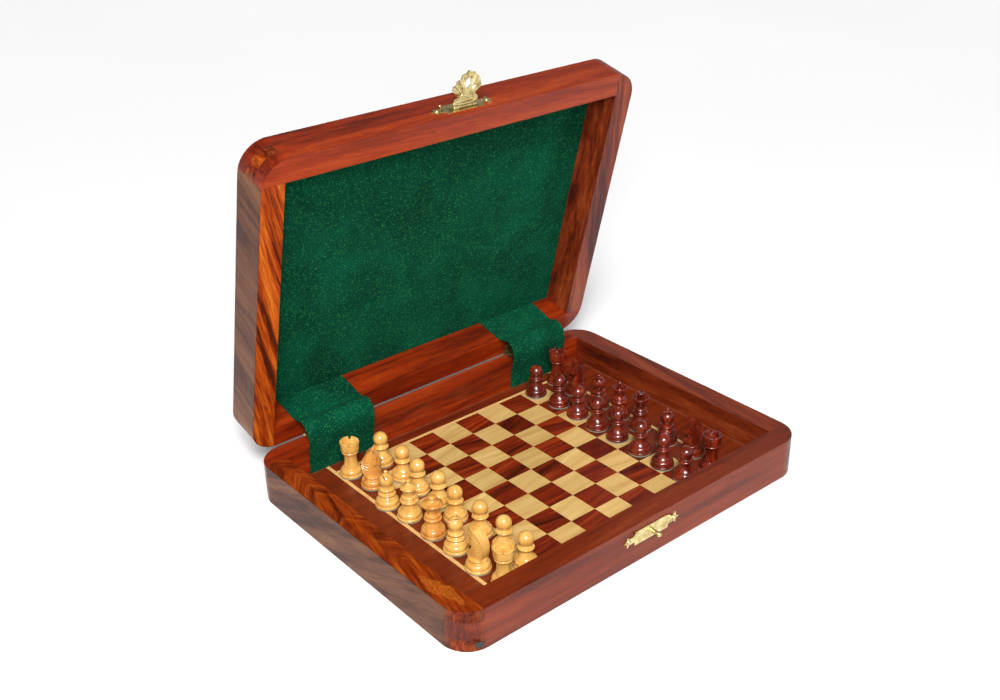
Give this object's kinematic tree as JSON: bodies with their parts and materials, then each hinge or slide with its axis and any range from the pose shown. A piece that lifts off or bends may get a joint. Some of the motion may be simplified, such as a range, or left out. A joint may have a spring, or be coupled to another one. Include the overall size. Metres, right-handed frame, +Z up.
{
  "type": "chess set with board",
  "caption": "Travelling magnetic chess set: hinged wooden box with a latch, inlaid board sunk in the base, cloth-lined lid and turned light and dark pieces.",
  "frame": {"origin": "middle of the base's flat underside", "axes": "+Z up, +X along the hinge from the light pieces to the dark ones, +Y from the latch to the hinge"},
  "size_m": [0.2032, 0.1758, 0.1859],
  "materials": {
    "box_wood": "satin lacquer",
    "plywood": "raw",
    "dark_veneer": "satin lacquer",
    "light_veneer": "satin lacquer",
    "stringing": "satin lacquer",
    "light_piece_wood": "gloss lacquer",
    "dark_piece_wood": "gloss lacquer",
    "velvet": "short velvet pile",
    "felt": "felt",
    "brass": "polished",
    "steel": "plain",
    "wood_filler": "matt"
  },
  "bodies": {
    "base": {"base_front_rail": "box_wood", "base_back_rail": "box_wood", "base_left_rail": "box_wood", "base_right_rail": "box_wood", "base_bottom_panel": "box_wood", "board_core": "plywood", "steel_sheet": "steel", "dark_squares": "dark_veneer", "light_squares": "light_veneer", "board_borders": "dark_veneer", "board_stringing": "stringing", "base_hinge_leaves": "brass", "hinge_pins": "brass", "base_fixings": "brass", "strike_plate": "brass", "left_hinge_flap": "velvet", "right_hinge_flap": "velvet"},
    "lid": {"lid_front_rail": "box_wood", "lid_back_rail": "box_wood", "lid_left_rail": "box_wood", "lid_right_rail": "box_wood", "lid_top_panel": "box_wood", "lid_lining": "velvet", "lid_hinge_leaves": "brass", "lid_fixings": "brass", "lid_latch_plate": "brass", "hasp_pin": "brass"},
    "hasp": {"hasp": "brass"},
    "white_rook_1": {"white_rook_1": "light_piece_wood"},
    "white_knight_1": {"white_knight_1": "light_piece_wood"},
    "white_bishop_1": {"white_bishop_1": "light_piece_wood"},
    "white_queen": {"white_queen": "light_piece_wood"},
    "white_king": {"white_king": "light_piece_wood"},
    "white_bishop_2": {"white_bishop_2": "light_piece_wood"},
    "white_knight_2": {"white_knight_2": "light_piece_wood"},
    "white_rook_2": {"white_rook_2": "light_piece_wood"},
    "white_pawn_1": {"white_pawn_1": "light_piece_wood"},
    "white_pawn_2": {"white_pawn_2": "light_piece_wood"},
    "white_pawn_3": {"white_pawn_3": "light_piece_wood"},
    "white_pawn_4": {"white_pawn_4": "light_piece_wood"},
    "white_pawn_5": {"white_pawn_5": "light_piece_wood"},
    "white_pawn_6": {"white_pawn_6": "light_piece_wood"},
    "white_pawn_7": {"white_pawn_7": "light_piece_wood"},
    "white_pawn_8": {"white_pawn_8": "light_piece_wood"},
    "black_rook_1": {"black_rook_1": "dark_piece_wood"},
    "black_knight_1": {"black_knight_1": "dark_piece_wood"},
    "black_bishop_1": {"black_bishop_1": "dark_piece_wood"},
    "black_queen": {"black_queen": "dark_piece_wood"},
    "black_king": {"black_king": "dark_piece_wood"},
    "black_bishop_2": {"black_bishop_2": "dark_piece_wood"},
    "black_knight_2": {"black_knight_2": "dark_piece_wood"},
    "black_rook_2": {"black_rook_2": "dark_piece_wood"},
    "black_pawn_1": {"black_pawn_1": "dark_piece_wood"},
    "black_pawn_2": {"black_pawn_2": "dark_piece_wood"},
    "black_pawn_3": {"black_pawn_3": "dark_piece_wood"},
    "black_pawn_4": {"black_pawn_4": "dark_piece_wood"},
    "black_pawn_5": {"black_pawn_5": "dark_piece_wood"},
    "black_pawn_6": {"black_pawn_6": "dark_piece_wood"},
    "black_pawn_7": {"black_pawn_7": "dark_piece_wood"},
    "black_pawn_8": {"black_pawn_8": "dark_piece_wood"}
  },
  "joints": [
    {"name": "lid_hinge", "type": "hinge", "parent": "base", "child": "lid", "pos_m": [0, 0.0766, 0.01975], "axis": [-1, 0, 0], "range_deg": [-75.4, 42], "deforming": ["left_hinge_flap", "right_hinge_flap"]},
    {"name": "hasp_hinge", "type": "hinge", "parent": "lid", "child": "hasp", "pos_m": [0, 0.04184, 0.17004], "axis": [-1, 0, 0], "range_deg": [-90, 80]},
    {"name": "white_rook_1_lift", "type": "slide", "parent": "base", "child": "white_rook_1", "axis": [0, 0, 1], "range_m": [0, 0.04]},
    {"name": "white_knight_1_lift", "type": "slide", "parent": "base", "child": "white_knight_1", "axis": [0, 0, 1], "range_m": [0, 0.04]},
    {"name": "white_bishop_1_lift", "type": "slide", "parent": "base", "child": "white_bishop_1", "axis": [0, 0, 1], "range_m": [0, 0.04]},
    {"name": "white_queen_lift", "type": "slide", "parent": "base", "child": "white_queen", "axis": [0, 0, 1], "range_m": [0, 0.04]},
    {"name": "white_king_lift", "type": "slide", "parent": "base", "child": "white_king", "axis": [0, 0, 1], "range_m": [0, 0.04]},
    {"name": "white_bishop_2_lift", "type": "slide", "parent": "base", "child": "white_bishop_2", "axis": [0, 0, 1], "range_m": [0, 0.04]},
    {"name": "white_knight_2_lift", "type": "slide", "parent": "base", "child": "white_knight_2", "axis": [0, 0, 1], "range_m": [0, 0.04]},
    {"name": "white_rook_2_lift", "type": "slide", "parent": "base", "child": "white_rook_2", "axis": [0, 0, 1], "range_m": [0, 0.04]},
    {"name": "white_pawn_1_lift", "type": "slide", "parent": "base", "child": "white_pawn_1", "axis": [0, 0, 1], "range_m": [0, 0.04]},
    {"name": "white_pawn_2_lift", "type": "slide", "parent": "base", "child": "white_pawn_2", "axis": [0, 0, 1], "range_m": [0, 0.04]},
    {"name": "white_pawn_3_lift", "type": "slide", "parent": "base", "child": "white_pawn_3", "axis": [0, 0, 1], "range_m": [0, 0.04]},
    {"name": "white_pawn_4_lift", "type": "slide", "parent": "base", "child": "white_pawn_4", "axis": [0, 0, 1], "range_m": [0, 0.04]},
    {"name": "white_pawn_5_lift", "type": "slide", "parent": "base", "child": "white_pawn_5", "axis": [0, 0, 1], "range_m": [0, 0.04]},
    {"name": "white_pawn_6_lift", "type": "slide", "parent": "base", "child": "white_pawn_6", "axis": [0, 0, 1], "range_m": [0, 0.04]},
    {"name": "white_pawn_7_lift", "type": "slide", "parent": "base", "child": "white_pawn_7", "axis": [0, 0, 1], "range_m": [0, 0.04]},
    {"name": "white_pawn_8_lift", "type": "slide", "parent": "base", "child": "white_pawn_8", "axis": [0, 0, 1], "range_m": [0, 0.04]},
    {"name": "black_rook_1_lift", "type": "slide", "parent": "base", "child": "black_rook_1", "axis": [0, 0, 1], "range_m": [0, 0.04]},
    {"name": "black_knight_1_lift", "type": "slide", "parent": "base", "child": "black_knight_1", "axis": [0, 0, 1], "range_m": [0, 0.04]},
    {"name": "black_bishop_1_lift", "type": "slide", "parent": "base", "child": "black_bishop_1", "axis": [0, 0, 1], "range_m": [0, 0.04]},
    {"name": "black_queen_lift", "type": "slide", "parent": "base", "child": "black_queen", "axis": [0, 0, 1], "range_m": [0, 0.04]},
    {"name": "black_king_lift", "type": "slide", "parent": "base", "child": "black_king", "axis": [0, 0, 1], "range_m": [0, 0.04]},
    {"name": "black_bishop_2_lift", "type": "slide", "parent": "base", "child": "black_bishop_2", "axis": [0, 0, 1], "range_m": [0, 0.04]},
    {"name": "black_knight_2_lift", "type": "slide", "parent": "base", "child": "black_knight_2", "axis": [0, 0, 1], "range_m": [0, 0.04]},
    {"name": "black_rook_2_lift", "type": "slide", "parent": "base", "child": "black_rook_2", "axis": [0, 0, 1], "range_m": [0, 0.04]},
    {"name": "black_pawn_1_lift", "type": "slide", "parent": "base", "child": "black_pawn_1", "axis": [0, 0, 1], "range_m": [0, 0.04]},
    {"name": "black_pawn_2_lift", "type": "slide", "parent": "base", "child": "black_pawn_2", "axis": [0, 0, 1], "range_m": [0, 0.04]},
    {"name": "black_pawn_3_lift", "type": "slide", "parent": "base", "child": "black_pawn_3", "axis": [0, 0, 1], "range_m": [0, 0.04]},
    {"name": "black_pawn_4_lift", "type": "slide", "parent": "base", "child": "black_pawn_4", "axis": [0, 0, 1], "range_m": [0, 0.04]},
    {"name": "black_pawn_5_lift", "type": "slide", "parent": "base", "child": "black_pawn_5", "axis": [0, 0, 1], "range_m": [0, 0.04]},
    {"name": "black_pawn_6_lift", "type": "slide", "parent": "base", "child": "black_pawn_6", "axis": [0, 0, 1], "range_m": [0, 0.04]},
    {"name": "black_pawn_7_lift", "type": "slide", "parent": "base", "child": "black_pawn_7", "axis": [0, 0, 1], "range_m": [0, 0.04]},
    {"name": "black_pawn_8_lift", "type": "slide", "parent": "base", "child": "black_pawn_8", "axis": [0, 0, 1], "range_m": [0, 0.04]}
  ]
}
